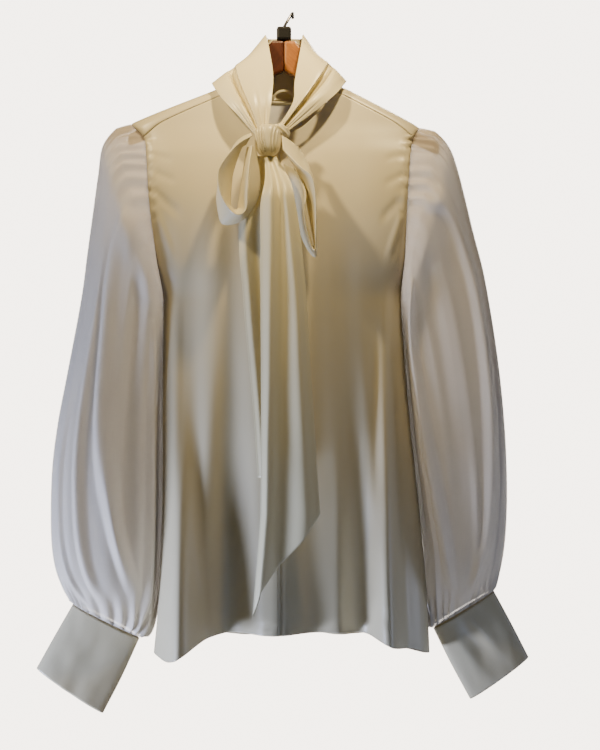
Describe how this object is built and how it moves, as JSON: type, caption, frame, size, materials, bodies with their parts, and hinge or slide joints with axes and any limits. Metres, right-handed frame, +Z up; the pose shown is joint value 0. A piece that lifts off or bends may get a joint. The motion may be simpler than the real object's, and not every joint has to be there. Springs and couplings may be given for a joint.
{
  "type": "tie-neck blouse and hanger",
  "caption": "Satin tie-neck blouse with sheer balloon sleeves, deep cuffs and a neck bow, hanging on a wooden hanger with a steel hook.",
  "frame": {"origin": "inner top of the hanger's hook, where a rail carries it", "axes": "+Z up, the front of the blouse facing -Y, the wearer's left at +X"},
  "size_m": [0.5915, 0.2039, 0.8439],
  "materials": {
    "ivory_satin": "smooth satin with a soft sheen",
    "ivory_chiffon": "semi-sheer matt chiffon",
    "white_label": "woven, matt, bare",
    "hanger_wood": "clear lacquered",
    "black_plastic": "moulded",
    "dark_steel": "dark plated wire"
  },
  "bodies": {
    "root": {"front_right": "ivory_satin", "front_left": "ivory_satin", "back": "ivory_satin", "sleeve_right": "ivory_chiffon", "sleeve_left": "ivory_chiffon", "cuff_right": "ivory_satin", "cuff_left": "ivory_satin", "collar": "ivory_satin", "knot": "ivory_satin", "bow_loop_right": "ivory_satin", "bow_loop_left": "ivory_satin", "tie_tail_front": "ivory_satin", "tie_tail_back": "ivory_satin", "neck_label": "white_label", "neck_loop": "ivory_satin", "hanger_arm_right": "hanger_wood", "hanger_arm_left": "hanger_wood", "size_cube": "black_plastic", "hanger_hook": "dark_steel"}
  },
  "joints": []
}
